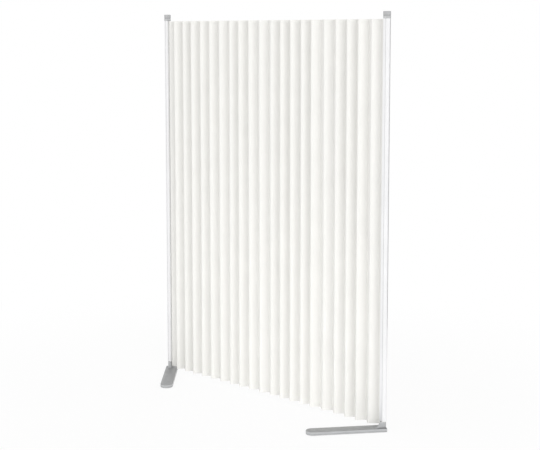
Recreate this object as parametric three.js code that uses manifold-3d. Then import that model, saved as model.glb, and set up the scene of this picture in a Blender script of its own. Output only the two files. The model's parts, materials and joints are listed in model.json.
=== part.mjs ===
// A free-standing folding screen: an accordion of stiff pleated fabric hung between two posts,
// each post standing on a flat foot that swivels about the post's own axis.
// Millimetres, +Z up. The origin is on the floor, on the axis of the left post.
// X runs to the right post, and the front of the screen looks along -Y.
import * as THREE from "three";
import { mergeVertices } from "three/addons/utils/BufferGeometryUtils.js";
import Module from "manifold-3d";

const wasm = await Module();
wasm.setup();

// Whole screen
const SCREEN_HEIGHT = 1800;
const SEAT_GAP = 0.3;
const CUT_OVERRUN = 5;

// Pleated fabric
const PLEAT_COUNT = 20;
const PLEAT_PITCH = 66;
const SHALLOWEST_PLEAT_DEPTH = 27.5;
const BACK_FOLD_PLACE = 16.5;
const FABRIC_THICKNESS = 1;
const FABRIC_FLOOR_GAP = 22;
const FABRIC_CAP_GAP = 2;
const FOLD_BEAD_RADIUS = 1.6;
const FACE_BOW = 1.4;
const EDGE_FLAP_WIDTH = 24.5;
const EDGE_FLAP_LEAD = 6;
// Each pleat's width as a share of the pitch, from the left post to the right one
const pleatWidthShares = [
  0.98, 0.97, 0.9, 1.0, 0.98, 1.02, 1.06, 0.93, 1.02, 1.06,
  1.09, 0.92, 0.96, 0.99, 0.93, 1.14, 1.03, 0.97, 0.95, 1.1,
];

// Post extrusion: a round nose outwards and a pair of jaws that hold the fabric's edge
const POST_RADIUS = 12;
const JAW_REACH = 16;
const JAW_CORNER_RADIUS = 2;
const POST_BORE_RADIUS = 9.6;
const POST_BOTTOM = 46;
const SIDE_GROOVE_PLACE = 1.6;
const SIDE_GROOVE_WIDTH = 2.4;
const SIDE_GROOVE_DEPTH = 0.9;
const CHANNEL_RADIUS = 1.8;
const CHANNEL_WALL = 1.3;
const JAW_SLOT_WIDTH = 2;
const CHAMBER_WALL = 1.5;
const CHAMBER_INNER_WALL = 1.4;

// Post cap
const CAP_HEIGHT = 30;
const CAP_OVERHANG = 0.6;
const CAP_COLLAR_HEIGHT = 12;
const CAP_GROOVE_HEIGHT = 1.6;
const CAP_GROOVE_DEPTH = 1.2;
const CAP_EDGE_RADIUS = 1.8;
const CAP_SPIGOT_LENGTH = 24;
const CAP_SPIGOT_CHAMFER = 1.5;
const CAP_SPIGOT_RIB_COUNT = 4;
const CAP_SPIGOT_SLOT_WIDTH = 3;
const CAP_SPIGOT_SLOT_DEPTH = 2.4;

// Foot: a steel plate on rubber pads, under a moulded cover with a neck
const FOOT_REACH = 340;
const FOOT_WIDTH = 60;
const FOOT_SIDE_OFFSET = 10;
const FOOT_HEEL_REACH = 12;
const FOOT_HEEL_CORNER_RADIUS = 5;
const PAD_RADIUS = 11;
const PAD_THICKNESS = 1.5;
const PAD_CHAMFER = 0.5;
const PLATE_THICKNESS = 4.5;
const PLATE_INSET = 0.6;
const COVER_HEIGHT = 10.1;
const COVER_EDGE_RADIUS = 1.8;
const COVER_WALL = 2.6;
const COVER_TOP_WALL = 2.8;
const COVER_RIB_COUNT = 4;
const COVER_RIB_WIDTH = 2.2;
const NECK_RADIUS = 10;
const NECK_BOSS_WALL = 4;
const FAIRING_REACH = 48;
const FAIRING_TOP_REACH = 16;
const FAIRING_DROP = 0.8;
const FAIRING_WIDTH = 19;
// How far out the fairing is still low, as a share of the way from its top reach to its full reach
const fairingSweepShare = 0.3;
const LEFT_FOOT_ANGLE = THREE.MathUtils.degToRad(-46);
const RIGHT_FOOT_ANGLE = THREE.MathUtils.degToRad(-127);

// Swivel: a steel stem that turns in a bush inside the post
const STEM_RADIUS = 7;
const STEM_REACH = 96;
const STEM_CHAMFER = 1.2;
const BUSH_REACH = 84;
const BUSH_FLANGE_RADIUS = 11.6;
const BUSH_FLANGE_THICKNESS = 1.2;
const SCREW_RADIUS = 3;
const SCREW_LENGTH = 22;
const SCREW_HEAD_RADIUS = 5.6;
const SCREW_RIM = 0.5;
const SCREW_SOCKET_RADIUS = 2;
const SCREW_SOCKET_DEPTH = 2.2;
const SCREW_SOCKET_SIDES = 6;

// How finely curves are drawn
const ROUND_STEPS = 32;
const NOSE_STEPS = 14;
const SMALL_ROUND_STEPS = 16;
const CORNER_STEPS = 4;
const BEAD_STEPS = 8;
const FACE_STEPS = 10;
const SAME_POINT = 0.001;

// An edge is rounded by at most this share of the outline's tightest corner
const roundingShare = 0.8;

// Heights that follow from the sizes above
const postTop = SCREEN_HEIGHT - CAP_HEIGHT - SEAT_GAP;
const fabricTop = SCREEN_HEIGHT - CAP_HEIGHT - FABRIC_CAP_GAP;
const plateBottom = PAD_THICKNESS + SEAT_GAP;
const coverBottom = plateBottom + PLATE_THICKNESS + SEAT_GAP;
const coverTop = coverBottom + COVER_HEIGHT;
const bushFlangeBottom = POST_BOTTOM - SEAT_GAP - BUSH_FLANGE_THICKNESS;
const neckTop = bushFlangeBottom - SEAT_GAP;
const stemBottom = coverBottom;

// The screen's fabric faces are all as long as the face of the widest, shallowest pleat
const widestShare = Math.max(...pleatWidthShares);
const faceLength = Math.hypot((widestShare * PLEAT_PITCH) / 2, SHALLOWEST_PLEAT_DEPTH);

const anodised = new THREE.MeshStandardMaterial({ color: 0xdfe1e4, roughness: 0.32, metalness: 0.9 });
const capGrey = new THREE.MeshStandardMaterial({ color: 0xa9abae, roughness: 0.5, metalness: 0.1 });
const footGrey = new THREE.MeshStandardMaterial({ color: 0x96999c, roughness: 0.42, metalness: 0.35 });
const steel = new THREE.MeshStandardMaterial({ color: 0xb4b6b8, roughness: 0.35, metalness: 1 });
const bushWhite = new THREE.MeshStandardMaterial({ color: 0xdcdcd6, roughness: 0.55, metalness: 0 });
const rubber = new THREE.MeshStandardMaterial({ color: 0x3a3b3d, roughness: 0.9, metalness: 0 });
const fabric = new THREE.MeshStandardMaterial({ color: 0xf3f2ea, roughness: 0.95, metalness: 0 });

// Closed surface of a geometry, ready to be joined or cut
function solidOf(geometry) {
  const bare = geometry.clone();
  bare.deleteAttribute("normal");
  bare.deleteAttribute("uv");
  const welded = mergeVertices(bare);
  return new wasm.Manifold(
    new wasm.Mesh({
      numProp: 3,
      vertProperties: welded.attributes.position.array,
      triVerts: new Uint32Array(welded.index.array),
    }),
  );
}

function geometryOf(solid) {
  const surface = solid.getMesh();
  const geometry = new THREE.BufferGeometry();
  geometry.setAttribute("position", new THREE.BufferAttribute(surface.vertProperties, surface.numProp));
  geometry.setIndex(new THREE.BufferAttribute(surface.triVerts, 1));
  geometry.computeVertexNormals();
  return geometry;
}

function join(base, ...others) {
  return geometryOf(others.reduce((sum, other) => sum.add(solidOf(other)), solidOf(base)));
}

function cut(base, ...cutters) {
  return geometryOf(cutters.reduce((rest, cutter) => rest.subtract(solidOf(cutter)), solidOf(base)));
}

// Shape of a closed outline, without the points that arcs and lines repeat where they meet
function shapeOf(outline) {
  const kept = outline.filter((point, i) => {
    const before = outline[(i + outline.length - 1) % outline.length];
    return point.distanceTo(before) > SAME_POINT;
  });
  return new THREE.Shape(kept);
}

// Upright prism of an outline in XY, from one height to another
function prism(outline, bottom, top) {
  const geometry = new THREE.ExtrudeGeometry(shapeOf(outline), { depth: top - bottom, bevelEnabled: false });
  return geometry.translate(0, 0, bottom);
}

// Body turned about the Z axis, from [radius, height] corners
function turned(corners, steps = ROUND_STEPS) {
  const closed = [...corners, corners[0]];
  const geometry = new THREE.LatheGeometry(
    closed.map(([radius, height]) => new THREE.Vector2(radius, height)),
    steps,
  );
  return geometry.rotateX(Math.PI / 2);
}

function named(name, geometry, material) {
  const mesh = new THREE.Mesh(geometry, material.clone());
  mesh.name = name;
  return mesh;
}

// Arc as points, from one angle to another about a centre
function arcPoints(centre, radius, from, to, steps) {
  const points = [];
  for (let i = 0; i <= steps; i += 1) {
    const angle = from + ((to - from) * i) / steps;
    points.push(
      new THREE.Vector2(centre.x + radius * Math.cos(angle), centre.y + radius * Math.sin(angle)),
    );
  }
  return points;
}

// Where each fold of the fabric lies at rest: back fold, front fold, back fold, and so on
function foldPlaces() {
  const back = BACK_FOLD_PLACE;
  const folds = [new THREE.Vector2(JAW_REACH + EDGE_FLAP_WIDTH, back)];
  for (let i = 0; i < PLEAT_COUNT; i += 1) {
    const half = (pleatWidthShares[i % pleatWidthShares.length] * PLEAT_PITCH) / 2;
    const depth = Math.sqrt(faceLength ** 2 - half ** 2);
    const start = folds[folds.length - 1].x;
    folds.push(new THREE.Vector2(start + half, back - depth));
    folds.push(new THREE.Vector2(start + 2 * half, back));
  }
  return folds;
}

// Outline of a thin sheet along a path, with a round bead on the path's last point if asked for
function sheetOutline(path, beaded) {
  const halfThickness = FABRIC_THICKNESS / 2;
  const last = path[path.length - 1];
  const near = [];
  const far = [];
  path.forEach((point, i) => {
    const before = path[Math.max(i - 1, 0)];
    const after = path[Math.min(i + 1, path.length - 1)];
    const along = after.clone().sub(before).normalize();
    const across = new THREE.Vector2(-along.y, along.x).multiplyScalar(halfThickness);
    near.push(point.clone().sub(across));
    far.push(point.clone().add(across));
  });
  if (!beaded) {
    return [...near, ...far.reverse()];
  }
  const heading = last.clone().sub(path[path.length - 2]).angle();
  const hidden = Math.asin(halfThickness / FOLD_BEAD_RADIUS);
  const bead = arcPoints(
    last, FOLD_BEAD_RADIUS, heading - Math.PI + hidden, heading + Math.PI - hidden, BEAD_STEPS,
  );
  near.pop();
  far.pop();
  return [...near, ...bead, ...far.reverse()];
}

// Path of a softly bowed fabric face between two folds, both kept clear for the beads there
function facePath(from, to) {
  const chord = to.clone().sub(from);
  const length = chord.length();
  const across = new THREE.Vector2(-chord.y, chord.x).normalize();
  const bow = -Math.sign(chord.y) * FACE_BOW;
  const clearShare = (FOLD_BEAD_RADIUS + SEAT_GAP) / length;
  const beadShare = FOLD_BEAD_RADIUS / length;
  const points = [];
  for (let i = 0; i <= FACE_STEPS; i += 1) {
    const share = clearShare + ((1 - beadShare - clearShare) * i) / FACE_STEPS;
    const side = bow * Math.sin(2 * Math.PI * share);
    points.push(from.clone().addScaledVector(chord, share).addScaledVector(across, side));
  }
  points.push(to.clone());
  return points;
}

function pleatPanel(number, from, to) {
  const origin = new THREE.Vector2(0, 0);
  const outline = sheetOutline(facePath(origin, to.clone().sub(from)), true);
  const name = `pleat_panel_${String(number).padStart(2, "0")}`;
  const panel = named(name, prism(outline, FABRIC_FLOOR_GAP, fabricTop), fabric);
  panel.position.set(from.x, from.y, 0);
  return panel;
}

// Centre of the round channel that holds the fabric's edge, measured from the post's axis
const channelPlace = POST_BORE_RADIUS + CHANNEL_WALL + CHANNEL_RADIUS;

// Path of the half face beside a post, from inside the jaws to the first fold
function flapPath(fold, trimmed) {
  const curve = new THREE.QuadraticBezierCurve(
    new THREE.Vector2(JAW_REACH + SEAT_GAP, 0),
    new THREE.Vector2(JAW_REACH + EDGE_FLAP_LEAD, 0),
    fold,
  );
  const points = curve.getSpacedPoints(FACE_STEPS);
  const end = trimmed ? FOLD_BEAD_RADIUS + SEAT_GAP : FOLD_BEAD_RADIUS;
  const heading = fold.clone().sub(points[FACE_STEPS - 1]).normalize();
  points[FACE_STEPS] = fold.clone().addScaledVector(heading, -end);
  if (!trimmed) {
    points.push(fold.clone());
  }
  return points;
}

// Fabric edge: a welt that sits in the post's channel, its web through the jaws, and a half face
function edgeStrip(name, fold, trimmed) {
  const weltRadius = CHANNEL_RADIUS - SEAT_GAP;
  const weltBottom = POST_BOTTOM + SEAT_GAP;
  const welt = prism(
    arcPoints(new THREE.Vector2(channelPlace, 0), weltRadius, 0, 2 * Math.PI, SMALL_ROUND_STEPS),
    weltBottom,
    fabricTop,
  );
  const web = prism(
    sheetOutline(
      [new THREE.Vector2(channelPlace, 0), new THREE.Vector2(JAW_REACH + EDGE_FLAP_LEAD / 2, 0)],
      false,
    ),
    weltBottom,
    fabricTop,
  );
  const flap = prism(sheetOutline(flapPath(fold, trimmed), !trimmed), FABRIC_FLOOR_GAP, fabricTop);
  return named(name, join(welt, web, flap), fabric);
}

// Outline of the post and its cap: nose towards -X, flat sides, jaws towards +X
function postOutline(growth) {
  const nose = POST_RADIUS + growth;
  const corner = JAW_CORNER_RADIUS + growth;
  const jaw = JAW_REACH - JAW_CORNER_RADIUS;
  const cheek = POST_RADIUS - JAW_CORNER_RADIUS;
  return [
    ...arcPoints(new THREE.Vector2(0, 0), nose, Math.PI / 2, 1.5 * Math.PI, NOSE_STEPS),
    ...arcPoints(new THREE.Vector2(jaw, -cheek), corner, -Math.PI / 2, 0, CORNER_STEPS),
    ...arcPoints(new THREE.Vector2(jaw, cheek), corner, 0, Math.PI / 2, CORNER_STEPS),
  ];
}

// Hollow beside the fabric channel that keeps the extrusion's walls even, above or below it
function chamberOutline(side) {
  const outer = POST_RADIUS - CHAMBER_WALL;
  const inner = CHANNEL_RADIUS + CHAMBER_INNER_WALL;
  const end = JAW_REACH - CHAMBER_WALL;
  const nearWall = POST_BORE_RADIUS + CHAMBER_INNER_WALL;
  const steep = Math.asin(Math.min(outer / nearWall, 1));
  const shallow = Math.asin(Math.min(inner / nearWall, 1));
  const centre = new THREE.Vector2(0, 0);
  return [
    ...arcPoints(centre, nearWall, side * steep, side * shallow, CORNER_STEPS),
    new THREE.Vector2(end, side * inner),
    new THREE.Vector2(end, side * outer),
  ];
}

function post(name) {
  const body = prism(postOutline(0), POST_BOTTOM, postTop);
  const bottom = POST_BOTTOM - CUT_OVERRUN;
  const top = postTop + CUT_OVERRUN;
  const bore = prism(
    arcPoints(new THREE.Vector2(0, 0), POST_BORE_RADIUS, 0, 2 * Math.PI, ROUND_STEPS),
    bottom,
    top,
  );
  const channel = prism(
    arcPoints(new THREE.Vector2(channelPlace, 0), CHANNEL_RADIUS, 0, 2 * Math.PI, SMALL_ROUND_STEPS),
    bottom,
    top,
  );
  const slotHalf = JAW_SLOT_WIDTH / 2;
  const slot = prism(
    [
      new THREE.Vector2(channelPlace, -slotHalf),
      new THREE.Vector2(JAW_REACH + CUT_OVERRUN, -slotHalf),
      new THREE.Vector2(JAW_REACH + CUT_OVERRUN, slotHalf),
      new THREE.Vector2(channelPlace, slotHalf),
    ],
    bottom,
    top,
  );
  const cutters = [bore, channel, slot];
  for (const side of [-1, 1]) {
    const face = side * POST_RADIUS;
    const grooveFloor = side * (POST_RADIUS - SIDE_GROOVE_DEPTH);
    const grooveHalf = SIDE_GROOVE_WIDTH / 2;
    const groove = [
      new THREE.Vector2(SIDE_GROOVE_PLACE - grooveHalf, face + side * SIDE_GROOVE_DEPTH),
      new THREE.Vector2(SIDE_GROOVE_PLACE - grooveHalf, face),
      new THREE.Vector2(SIDE_GROOVE_PLACE, grooveFloor),
      new THREE.Vector2(SIDE_GROOVE_PLACE + grooveHalf, face),
      new THREE.Vector2(SIDE_GROOVE_PLACE + grooveHalf, face + side * SIDE_GROOVE_DEPTH),
    ];
    const chamber = chamberOutline(side);
    cutters.push(prism(groove, bottom, top), prism(chamber, bottom, top));
  }
  return named(name, cut(body, ...cutters), anodised);
}

// Prism with its upper edge rounded over and its lower edge left square
function roundedTopPrism(outline, bottom, top, edge) {
  const rounded = new THREE.ExtrudeGeometry(shapeOf(outline), {
    depth: top - edge - bottom,
    bevelEnabled: true,
    bevelThickness: edge,
    bevelSize: edge,
    bevelOffset: -edge,
    bevelSegments: CORNER_STEPS,
  });
  rounded.translate(0, 0, bottom);
  rounded.computeBoundingBox();
  const { min, max } = rounded.boundingBox;
  const below = new THREE.BoxGeometry(
    max.x - min.x + 2 * CUT_OVERRUN,
    max.y - min.y + 2 * CUT_OVERRUN,
    edge + CUT_OVERRUN,
  );
  below.translate((min.x + max.x) / 2, (min.y + max.y) / 2, bottom - (edge + CUT_OVERRUN) / 2);
  return cut(rounded, below);
}

function cap(name) {
  const bottom = postTop + SEAT_GAP;
  const grooveBottom = bottom + CAP_COLLAR_HEIGHT;
  const grooveTop = grooveBottom + CAP_GROOVE_HEIGHT;
  const spigotRadius = POST_BORE_RADIUS - SEAT_GAP;
  const spigotBottom = bottom - CAP_SPIGOT_LENGTH;
  const collar = prism(postOutline(CAP_OVERHANG), bottom, grooveBottom);
  const waist = prism(postOutline(CAP_OVERHANG - CAP_GROOVE_DEPTH), bottom, SCREEN_HEIGHT - CAP_EDGE_RADIUS);
  const edge = Math.min(CAP_EDGE_RADIUS, roundingShare * (JAW_CORNER_RADIUS + CAP_OVERHANG));
  const crown = roundedTopPrism(postOutline(CAP_OVERHANG), grooveTop, SCREEN_HEIGHT, edge);
  const spigot = turned([
    [0, spigotBottom],
    [spigotRadius - CAP_SPIGOT_CHAMFER, spigotBottom],
    [spigotRadius, spigotBottom + CAP_SPIGOT_CHAMFER],
    [spigotRadius, grooveBottom],
    [0, grooveBottom],
  ]);
  const slots = [];
  for (let i = 0; i < CAP_SPIGOT_RIB_COUNT; i += 1) {
    const slot = new THREE.BoxGeometry(
      2 * CAP_SPIGOT_SLOT_DEPTH, CAP_SPIGOT_SLOT_WIDTH, CAP_SPIGOT_LENGTH + CUT_OVERRUN,
    );
    slot.translate(spigotRadius, 0, bottom - (CAP_SPIGOT_LENGTH + CUT_OVERRUN) / 2);
    slots.push(slot.rotateZ((2 * Math.PI * (i + 1 / 2)) / CAP_SPIGOT_RIB_COUNT));
  }
  return named(name, cut(join(collar, waist, crown, spigot), ...slots), capGrey);
}

function swivelBush(name) {
  const outer = POST_BORE_RADIUS - SEAT_GAP;
  const inner = STEM_RADIUS + SEAT_GAP;
  const flangeTop = bushFlangeBottom + BUSH_FLANGE_THICKNESS;
  const top = POST_BOTTOM + BUSH_REACH;
  const geometry = turned([
    [inner, bushFlangeBottom],
    [BUSH_FLANGE_RADIUS, bushFlangeBottom],
    [BUSH_FLANGE_RADIUS, flangeTop],
    [outer, flangeTop],
    [outer, top],
    [inner, top],
  ]);
  return named(name, geometry, bushWhite);
}

// Outline of the foot in its own frame: the tip along +X, the swivel axis at the origin
function footOutline(side, inset) {
  const middle = side * FOOT_SIDE_OFFSET;
  const half = FOOT_WIDTH / 2 - inset;
  const corner = FOOT_HEEL_CORNER_RADIUS;
  const heel = inset - FOOT_HEEL_REACH;
  const tipCentre = FOOT_REACH - FOOT_WIDTH / 2;
  const tip = new THREE.Vector2(tipCentre, middle);
  const leftHeel = new THREE.Vector2(heel + corner, middle + half - corner);
  const rightHeel = new THREE.Vector2(heel + corner, middle - half + corner);
  return [
    ...arcPoints(tip, half, -Math.PI / 2, Math.PI / 2, NOSE_STEPS),
    ...arcPoints(leftHeel, corner, Math.PI / 2, Math.PI, CORNER_STEPS),
    ...arcPoints(rightHeel, corner, Math.PI, 1.5 * Math.PI, CORNER_STEPS),
  ];
}

// Moulded cover: a thin ribbed shell whose top sweeps up into the neck below the post
function footCover(name, side) {
  const edge = Math.min(COVER_EDGE_RADIUS, roundingShare * FOOT_HEEL_CORNER_RADIUS);
  const shell = roundedTopPrism(footOutline(side, 0), coverBottom, coverTop, edge);
  const pocketTop = coverTop - COVER_TOP_WALL;
  const pocket = prism(footOutline(side, COVER_WALL), coverBottom - CUT_OVERRUN, pocketTop);
  const keep = [turned([
    [0, coverBottom],
    [NECK_RADIUS + NECK_BOSS_WALL, coverBottom],
    [NECK_RADIUS + NECK_BOSS_WALL, coverTop - COVER_EDGE_RADIUS],
    [0, coverTop - COVER_EDGE_RADIUS],
  ])];
  for (let i = 1; i <= COVER_RIB_COUNT; i += 1) {
    const rib = new THREE.BoxGeometry(COVER_RIB_WIDTH, FOOT_WIDTH - COVER_WALL, pocketTop - coverBottom);
    const place = (i * FOOT_REACH) / (COVER_RIB_COUNT + 1);
    keep.push(rib.translate(place, side * FOOT_SIDE_OFFSET, (pocketTop + coverBottom) / 2));
  }
  const neck = turned([
    [0, coverTop - COVER_TOP_WALL],
    [NECK_RADIUS, coverTop - COVER_TOP_WALL],
    [NECK_RADIUS, neckTop],
    [0, neckTop],
  ]);
  const rise = neckTop - FAIRING_DROP - (coverTop - COVER_TOP_WALL);
  const bend = FAIRING_TOP_REACH + fairingSweepShare * (FAIRING_REACH - FAIRING_TOP_REACH);
  const sweep = new THREE.Shape();
  sweep.moveTo(0, 0);
  sweep.lineTo(FAIRING_REACH, 0);
  sweep.lineTo(FAIRING_REACH, COVER_TOP_WALL);
  sweep.quadraticCurveTo(bend, COVER_TOP_WALL, FAIRING_TOP_REACH, rise);
  sweep.lineTo(0, rise);
  sweep.closePath();
  const fairing = new THREE.ExtrudeGeometry(sweep, {
    depth: FAIRING_WIDTH,
    bevelEnabled: false,
    curveSegments: SMALL_ROUND_STEPS / 2,
  });
  fairing.rotateX(Math.PI / 2);
  fairing.translate(0, FAIRING_WIDTH / 2, coverTop - COVER_TOP_WALL);
  const bore = turned([
    [0, coverBottom - CUT_OVERRUN],
    [STEM_RADIUS + SEAT_GAP, coverBottom - CUT_OVERRUN],
    [STEM_RADIUS + SEAT_GAP, neckTop + CUT_OVERRUN],
    [0, neckTop + CUT_OVERRUN],
  ]);
  const solid = cut(join(cut(shell, pocket), ...keep, neck, fairing), bore);
  return named(name, solid, footGrey);
}

// Countersunk profile shared by the screw and, grown by a clearance, by its seat in the plate
function screwProfile(growth, length) {
  const seat = plateBottom + SEAT_GAP - growth;
  const head = SCREW_HEAD_RADIUS + growth;
  const shank = SCREW_RADIUS + growth;
  const rimTop = seat + SCREW_RIM + growth;
  return [
    [0, seat - (growth > 0 ? CUT_OVERRUN : 0)],
    [head, seat - (growth > 0 ? CUT_OVERRUN : 0)],
    [head, rimTop],
    [shank, rimTop + head - shank],
    [shank, seat + length],
    [0, seat + length],
  ];
}

function footPlate(name, side) {
  const plate = prism(footOutline(side, PLATE_INSET), plateBottom, plateBottom + PLATE_THICKNESS);
  const seat = turned(screwProfile(SEAT_GAP, PLATE_THICKNESS + CUT_OVERRUN));
  return named(name, cut(plate, seat), steel);
}

function footScrew(name) {
  const body = turned(screwProfile(0, SCREW_LENGTH));
  const socketDepth = SCREW_SOCKET_DEPTH + CUT_OVERRUN;
  const socket = new THREE.CylinderGeometry(
    SCREW_SOCKET_RADIUS, SCREW_SOCKET_RADIUS, socketDepth, SCREW_SOCKET_SIDES,
  );
  socket.rotateX(Math.PI / 2);
  socket.translate(0, 0, plateBottom + SEAT_GAP + SCREW_SOCKET_DEPTH - socketDepth / 2);
  return named(name, cut(body, socket), steel);
}

function footStem(name) {
  const top = POST_BOTTOM + STEM_REACH;
  const tapped = SCREW_RADIUS + SEAT_GAP;
  const tappedTop = plateBottom + SCREW_LENGTH + 2 * SEAT_GAP + SCREW_RADIUS;
  const geometry = turned([
    [tapped, stemBottom],
    [STEM_RADIUS, stemBottom],
    [STEM_RADIUS, top - STEM_CHAMFER],
    [STEM_RADIUS - STEM_CHAMFER, top],
    [0, top],
    [0, tappedTop],
    [tapped, tappedTop - SCREW_RADIUS],
  ]);
  return named(name, geometry, steel);
}

function pad(name, x, y) {
  const mesh = named(
    name,
    turned([
      [0, 0],
      [PAD_RADIUS - PAD_CHAMFER, 0],
      [PAD_RADIUS, PAD_CHAMFER],
      [PAD_RADIUS, PAD_THICKNESS],
      [0, PAD_THICKNESS],
    ]),
    rubber,
  );
  mesh.position.set(x, y, 0);
  return mesh;
}

function foot(end, side) {
  const group = new THREE.Group();
  const tipCentre = FOOT_REACH - FOOT_WIDTH / 2;
  group.add(footCover(`${end}_foot_cover`, side));
  group.add(footPlate(`${end}_foot_plate`, side));
  group.add(footStem(`${end}_foot_stem`));
  group.add(footScrew(`${end}_foot_screw`));
  group.add(pad(`${end}_heel_pad`, 0, 0));
  group.add(pad(`${end}_tip_pad`, tipCentre, side * FOOT_SIDE_OFFSET));
  return group;
}

function postAssembly(end) {
  const group = new THREE.Group();
  group.add(post(`${end}_post`));
  group.add(cap(`${end}_cap`));
  group.add(swivelBush(`${end}_swivel_bush`));
  return group;
}

const folds = foldPlaces();
const lastFold = folds[folds.length - 1];
const postSpacing = lastFold.x + EDGE_FLAP_WIDTH + JAW_REACH;

const screen = new THREE.Group();

const leftPost = postAssembly("left");
screen.add(leftPost);
screen.add(edgeStrip("left_edge_strip", folds[0], false));

for (let i = 1; i < folds.length; i += 1) {
  screen.add(pleatPanel(i, folds[i - 1], folds[i]));
}

const rightPost = postAssembly("right");
rightPost.position.x = postSpacing;
rightPost.rotation.z = Math.PI;
screen.add(rightPost);

// The right edge strip is the left one turned about: seen from its post, its fold lies to the other side
const rightFold = new THREE.Vector2(postSpacing - lastFold.x, -lastFold.y);
const rightStrip = edgeStrip("right_edge_strip", rightFold, true);
rightStrip.position.x = postSpacing;
rightStrip.rotation.z = Math.PI;
screen.add(rightStrip);

const leftFoot = foot("left", 1);
leftFoot.rotation.z = LEFT_FOOT_ANGLE;
screen.add(leftFoot);

const rightFoot = foot("right", -1);
rightFoot.position.x = postSpacing;
rightFoot.rotation.z = RIGHT_FOOT_ANGLE;
screen.add(rightFoot);

export default screen;
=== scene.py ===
"""Free-standing partition screen: pleated ivory cloth between two anodised posts on swivelling feet.

Metres, +Z up. The origin is on the floor, on the left post's axis, and the front looks along -Y.
"""

import json
import math

import bpy
from bpy.props import FloatProperty, FloatVectorProperty, PointerProperty
from mathutils import Matrix, Vector, noise


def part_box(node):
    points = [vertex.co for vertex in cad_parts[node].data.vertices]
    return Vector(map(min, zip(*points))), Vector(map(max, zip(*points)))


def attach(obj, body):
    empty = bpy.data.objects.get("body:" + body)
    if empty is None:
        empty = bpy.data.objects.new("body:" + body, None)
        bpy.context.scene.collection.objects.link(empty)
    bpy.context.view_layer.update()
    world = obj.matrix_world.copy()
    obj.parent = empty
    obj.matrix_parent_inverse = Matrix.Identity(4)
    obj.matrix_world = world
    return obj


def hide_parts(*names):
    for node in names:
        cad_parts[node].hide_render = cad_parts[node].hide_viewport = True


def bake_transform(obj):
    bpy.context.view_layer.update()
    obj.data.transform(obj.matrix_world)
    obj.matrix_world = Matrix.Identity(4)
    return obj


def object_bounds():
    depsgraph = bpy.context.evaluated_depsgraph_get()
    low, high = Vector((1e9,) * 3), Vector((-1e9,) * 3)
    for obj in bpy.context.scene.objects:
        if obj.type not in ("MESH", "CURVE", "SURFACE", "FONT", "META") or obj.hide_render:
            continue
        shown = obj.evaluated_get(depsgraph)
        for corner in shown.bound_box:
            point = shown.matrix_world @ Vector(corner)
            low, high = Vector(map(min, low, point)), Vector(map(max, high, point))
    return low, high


bl_info = {
    "name": "Partition screen",
    "version": (1, 0, 0),
    "blender": (4, 5, 0),
    "location": "3D View > Sidebar > Screen",
    "description": "Dresses the solids of a pleated partition screen with its cloth, metal and mouldings",
    "category": "Object",
}

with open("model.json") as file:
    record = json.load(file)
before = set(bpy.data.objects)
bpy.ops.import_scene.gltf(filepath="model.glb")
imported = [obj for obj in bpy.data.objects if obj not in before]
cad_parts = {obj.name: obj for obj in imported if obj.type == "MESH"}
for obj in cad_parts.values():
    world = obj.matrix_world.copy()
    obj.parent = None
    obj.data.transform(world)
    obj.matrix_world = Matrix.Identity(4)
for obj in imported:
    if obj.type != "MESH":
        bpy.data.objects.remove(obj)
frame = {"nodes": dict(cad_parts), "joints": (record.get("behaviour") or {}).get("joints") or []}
CAD_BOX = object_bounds()

ENDS = ("left", "right")
# The sign of X from each post into the screen, and the turn from +X to that way
SIDES = {"left": 1, "right": -1}
FACINGS = {"left": 0.0, "right": math.pi}
SEAT_GAP = 0.0003  # play of pieces that fit into each other
SOFT_EDGE = 0.0004  # rounding of edges that look sharp
CORNER_STEPS = 8

# Places that the solids give
CENTRE = (CAD_BOX[0] + CAD_BOX[1]) / 2
FLOOR_CENTRE = CENTRE.to_2d().to_3d()
SWIVELS = {end: Vector(next(j["pos_m"] for j in frame["joints"] if j["name"] == f"{end}_foot_swivel")) for end in ENDS}
FOLD_JOINTS = sorted((j for j in frame["joints"] if j["name"].startswith("fold_")), key=lambda j: j["name"])
FOLDS = [Vector(j["pos_m"][:2]) for j in FOLD_JOINTS]
CLOTH_LOW, CLOTH_TOP = (corner.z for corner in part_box("pleat_panel_01"))
POST_LOW, POST_TOP = (corner.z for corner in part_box("left_post"))
POST_RADIUS, JAW_REACH = -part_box("left_post")[0].x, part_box("left_post")[1].x
CAP_LOW, CAP_TOP = POST_TOP + SEAT_GAP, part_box("left_cap")[1].z
BUSH_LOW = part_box("left_swivel_bush")[0].z
COVER_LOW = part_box("left_foot_cover")[0].z
PLATE_LOW, PLATE_TOP = (corner.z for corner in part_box("left_foot_plate"))
PANEL_COUNT = len(FOLDS) - 1


class ClothSettings(bpy.types.PropertyGroup):
    colour: FloatVectorProperty(
        name="Cloth colour", description="Colour of the pleated cloth", subtype="COLOR", size=3, min=0, max=1,
        default=(0.83, 0.825, 0.80))
    thickness: FloatProperty(
        name="Thickness", description="Thickness of the stiffened cloth", default=0.001, unit="LENGTH")
    thread: FloatProperty(
        name="Thread spacing", description="Distance from one thread to the next", default=0.0009, unit="LENGTH")
    hem: FloatProperty(
        name="Hem height", description="Height of the stitched hem along both edges", default=0.015, unit="LENGTH")
    hem_fullness: FloatProperty(
        name="Hem fullness", description="How far the doubled hem stands out on each side",
        default=0.0004, unit="LENGTH")
    crease: FloatProperty(
        name="Crease length", description="Length of cloth on each side that turns in a crease",
        default=0.0022, unit="LENGTH")
    bow: FloatProperty(
        name="Face bow", description="How far a face curves off its straight line", default=0.0014, unit="LENGTH")
    wander: FloatProperty(
        name="Wander", description="How far the hanging cloth strays from its pressed shape",
        default=0.0013, unit="LENGTH")
    pucker: FloatProperty(
        name="Pucker", description="How far the stitching draws the cloth in along a hem",
        default=0.0006, unit="LENGTH")
    flap_lead: FloatProperty(
        name="Flap lead", description="Length that leaves a jaw straight before the cloth turns",
        default=0.006, unit="LENGTH")


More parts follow.
